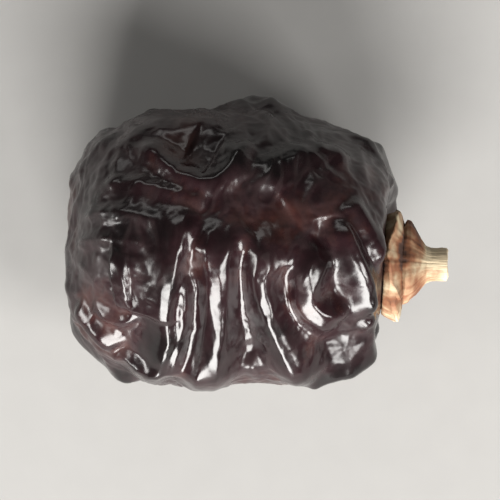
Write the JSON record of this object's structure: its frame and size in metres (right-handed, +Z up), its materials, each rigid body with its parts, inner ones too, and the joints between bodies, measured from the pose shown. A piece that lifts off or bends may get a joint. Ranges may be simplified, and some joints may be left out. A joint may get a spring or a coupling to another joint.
{
  "type": "ajwa date",
  "caption": "Dark, glossy dried date lying on its side: a plump fruit with pleated and net-wrinkled skin, and its dried tan calyx with a stalk stub at one end.",
  "frame": {"origin": "middle of the small flat spot that the date lies on", "axes": "+X along the fruit, out of the stem end with the calyx; +Z up from the flat spot; the pleated belly lies towards -Y"},
  "size_m": [0.0291, 0.0224, 0.0207],
  "materials": {
    "skin": "glossy wrinkled date skin, near-black maroon",
    "calyx": "dry matt papery calyx, tan"
  },
  "bodies": {
    "root": {"fruit": "skin", "calyx": "calyx"}
  },
  "joints": []
}
